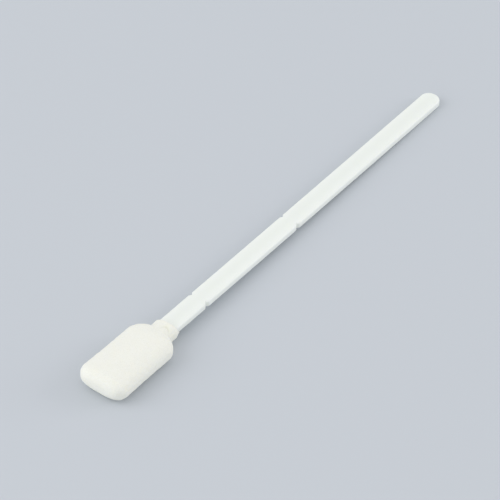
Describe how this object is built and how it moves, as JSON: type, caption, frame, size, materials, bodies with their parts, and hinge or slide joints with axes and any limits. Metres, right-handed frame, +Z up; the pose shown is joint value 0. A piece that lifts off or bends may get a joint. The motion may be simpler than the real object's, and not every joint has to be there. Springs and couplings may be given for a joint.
{
  "type": "foam-tipped specimen swab",
  "caption": "Flat plastic stick with break notches in its edges and a soft rectangular foam head, for wiping a surface or collecting a specimen.",
  "frame": {"origin": "centre of the swab's footprint, on the level surface that it lies on", "axes": "+X along the swab, from the foam tip to the handle's round end; +Y across the handle; +Z up. The handle slopes down by about a degree towards +X, as it does at rest."},
  "size_m": [0.127, 0.0126, 0.006],
  "materials": {
    "handle_plastic": "white moulded polypropylene with a satin sheen",
    "head_foam": "off-white open-cell polyurethane foam, soft and matt"
  },
  "bodies": {
    "root": {"handle": "handle_plastic", "foam_head": "head_foam"}
  },
  "joints": []
}
